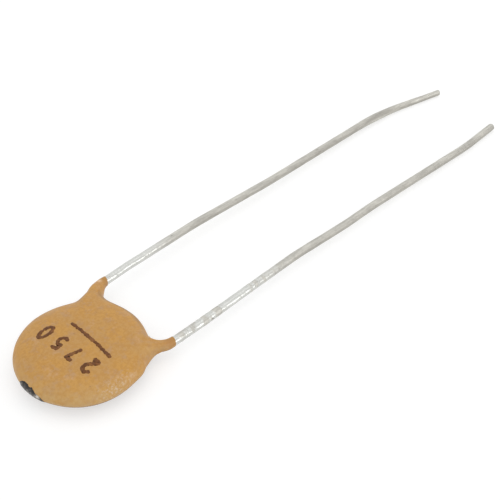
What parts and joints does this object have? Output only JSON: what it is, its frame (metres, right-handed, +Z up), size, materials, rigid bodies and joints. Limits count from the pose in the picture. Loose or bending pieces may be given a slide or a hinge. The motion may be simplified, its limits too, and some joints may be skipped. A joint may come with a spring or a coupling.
{
  "type": "ceramic disc capacitor",
  "caption": "Small radial-leaded ceramic disc capacitor: dipped ochre round body with skirts on its wires, plain printed digits and a black dab on the rim, lying flat.",
  "frame": {"origin": "middle of the disc's flat underside, on the table", "axes": "+Z up out of the disc's face, +Y from the disc along the leads, +X towards the right lead"},
  "size_m": [0.0067, 0.031, 0.0015],
  "materials": {
    "resin_coat": "dipped epoxy, ochre, satin",
    "tinned_copper": "tinned copper wire, lightly scratched",
    "dielectric": "fired ceramic",
    "fired_silver": "fired silver, matt",
    "solder": "soft solder",
    "brown_ink": "stamped ink, dark brown",
    "black_paint": "black lacquer, glossy"
  },
  "bodies": {
    "root": {"coat": "resin_coat", "ceramic_disc": "dielectric", "upper_electrode": "fired_silver", "lower_electrode": "fired_silver", "left_lead": "tinned_copper", "right_lead": "tinned_copper", "upper_solder": "solder", "lower_solder": "solder", "value_digits": "brown_ink", "value_underline": "brown_ink", "rim_dab": "black_paint"}
  },
  "joints": []
}
